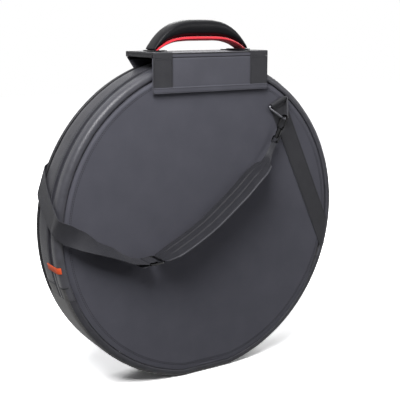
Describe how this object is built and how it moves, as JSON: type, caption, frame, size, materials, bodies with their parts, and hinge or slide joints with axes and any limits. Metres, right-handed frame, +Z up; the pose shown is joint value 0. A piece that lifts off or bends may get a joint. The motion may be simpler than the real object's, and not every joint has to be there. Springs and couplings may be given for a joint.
{
  "type": "cymbal bag",
  "caption": "Round padded cymbal bag standing on its edge, with a zipped fold-down lid, saddle handle and clip-on shoulder strap.",
  "frame": {"origin": "middle of the flat that the bag stands on", "axes": "+X to the right and -Y towards the viewer, seen from the front with the lid, +Z up"},
  "size_m": [0.6246, 0.1823, 0.6839],
  "materials": {
    "padded_cloth": "coated woven nylon over foam, charcoal",
    "base_cloth": "grained hard-wearing cloth, near black",
    "piping": "bound cord, near black",
    "divider_cloth": "padded lining cloth, black",
    "zip_tape": "fine woven tape, black",
    "zip_coil": "nylon coil, black",
    "end_tab": "orange-red ribbon",
    "slider_metal": "black painted die-cast metal",
    "saddle_cloth": "coated woven nylon, charcoal",
    "webbing": "ribbed webbing, dark grey",
    "grip_cover": "padded grip cloth, black",
    "grip_lining": "spacer cloth, crimson",
    "ring_metal": "dark nickel-plated steel wire",
    "hook_metal": "glossy black die-cast metal",
    "strap_webbing": "seat-belt weave webbing, dark grey",
    "pad_cloth": "coated woven nylon over foam, charcoal",
    "adjuster_plastic": "moulded acetal, glossy black"
  },
  "bodies": {
    "bag": {"rear_panel": "padded_cloth", "rear_gusset": "padded_cloth", "bottom_gusset": "base_cloth", "lower_front_panel": "padded_cloth", "right_gore": "padded_cloth", "left_gore": "padded_cloth", "rear_piping": "piping", "lower_front_piping": "piping", "front_divider": "divider_cloth", "rear_divider": "divider_cloth", "rear_zip_tape": "zip_tape", "rear_zip_coil": "zip_coil", "right_zip_tab": "end_tab", "left_zip_tab": "end_tab", "saddle_plate": "saddle_cloth", "rear_flap": "saddle_cloth", "rear_flap_seam": "webbing", "left_saddle_band": "webbing", "right_saddle_band": "webbing", "handle_grip": "grip_cover", "handle_lining": "grip_lining", "left_handle_foot": "grip_cover", "right_handle_foot": "grip_cover", "rear_tape": "webbing", "rear_ring_loop": "webbing", "rear_eye": "hook_metal", "strap_rear": "strap_webbing"},
    "lid": {"front_panel": "padded_cloth", "front_gusset": "padded_cloth", "front_piping": "piping", "front_zip_tape": "zip_tape", "front_zip_coil": "zip_coil", "front_flap": "saddle_cloth", "front_flap_seam": "webbing", "left_flap_band": "webbing", "right_flap_band": "webbing", "front_tape": "webbing", "front_ring_loop": "webbing", "front_eye": "hook_metal", "strap_neck": "strap_webbing", "shoulder_pad": "pad_cloth", "adjuster": "adjuster_plastic", "strap_front": "strap_webbing"},
    "left_slider": {"left_slider": "slider_metal"},
    "left_pull": {"left_pull": "slider_metal"},
    "right_slider": {"right_slider": "slider_metal"},
    "right_pull": {"right_pull": "slider_metal"},
    "front_ring": {"front_ring": "ring_metal"},
    "rear_ring": {"rear_ring": "ring_metal"},
    "front_hook": {"front_hook": "hook_metal"},
    "rear_hook": {"rear_hook": "hook_metal"},
    "front_gate": {"front_gate": "hook_metal"},
    "rear_gate": {"rear_gate": "hook_metal"}
  },
  "joints": [
    {"name": "lid_fold", "type": "hinge", "parent": "bag", "child": "lid", "pos_m": [0, -0.0465, 0.197], "axis": [1, 0, 0], "range_deg": [0, 110]},
    {"name": "left_slider_travel", "type": "hinge", "parent": "bag", "child": "left_slider", "pos_m": [0, -0.018, 0.305], "axis": [0, 1, 0], "range_deg": [-127.5, 0]},
    {"name": "right_slider_travel", "type": "hinge", "parent": "bag", "child": "right_slider", "pos_m": [0, -0.018, 0.305], "axis": [0, 1, 0], "range_deg": [0, 54]},
    {"name": "left_pull_lift", "type": "hinge", "parent": "left_slider", "child": "left_pull", "pos_m": [0.15938, -0.018, 0.57025], "axis": [0, 1, 0], "range_deg": [-100, 0]},
    {"name": "right_pull_lift", "type": "hinge", "parent": "right_slider", "child": "right_pull", "pos_m": [0.19474, -0.018, 0.54549], "axis": [0, 1, 0], "range_deg": [-100, 0]},
    {"name": "front_ring_swing", "type": "hinge", "parent": "lid", "child": "front_ring", "pos_m": [0.16, -0.0505, 0.527], "axis": [0.9085, 0, 0.4179], "range_deg": [-5, 0]},
    {"name": "rear_ring_swing", "type": "hinge", "parent": "bag", "child": "rear_ring", "pos_m": [-0.16, 0.0505, 0.527], "axis": [-0.9085, 0, 0.4179], "range_deg": [-5, 0]},
    {"name": "front_hook_swivel", "type": "hinge", "parent": "lid", "child": "front_hook", "pos_m": [0.15368, -0.0598, 0.4638], "axis": [0.4478, 0, 0.8942], "range_deg": [-15, 15]},
    {"name": "rear_hook_swivel", "type": "hinge", "parent": "bag", "child": "rear_hook", "pos_m": [-0.19396, 0.0598, 0.4657], "axis": [0.5299, 0, 0.848], "range_deg": [-15, 15]},
    {"name": "front_gate_swing", "type": "hinge", "parent": "front_hook", "child": "front_gate", "pos_m": [0.16142, -0.06905, 0.47927], "axis": [0.8942, 0, -0.4478], "range_deg": [-12, 0], "stiffness_Nm_per_rad": 0.02},
    {"name": "rear_gate_swing", "type": "hinge", "parent": "rear_hook", "child": "rear_gate", "pos_m": [-0.18479, 0.06905, 0.48037], "axis": [0.848, 0, -0.5299], "range_deg": [0, 12], "stiffness_Nm_per_rad": 0.02}
  ]
}
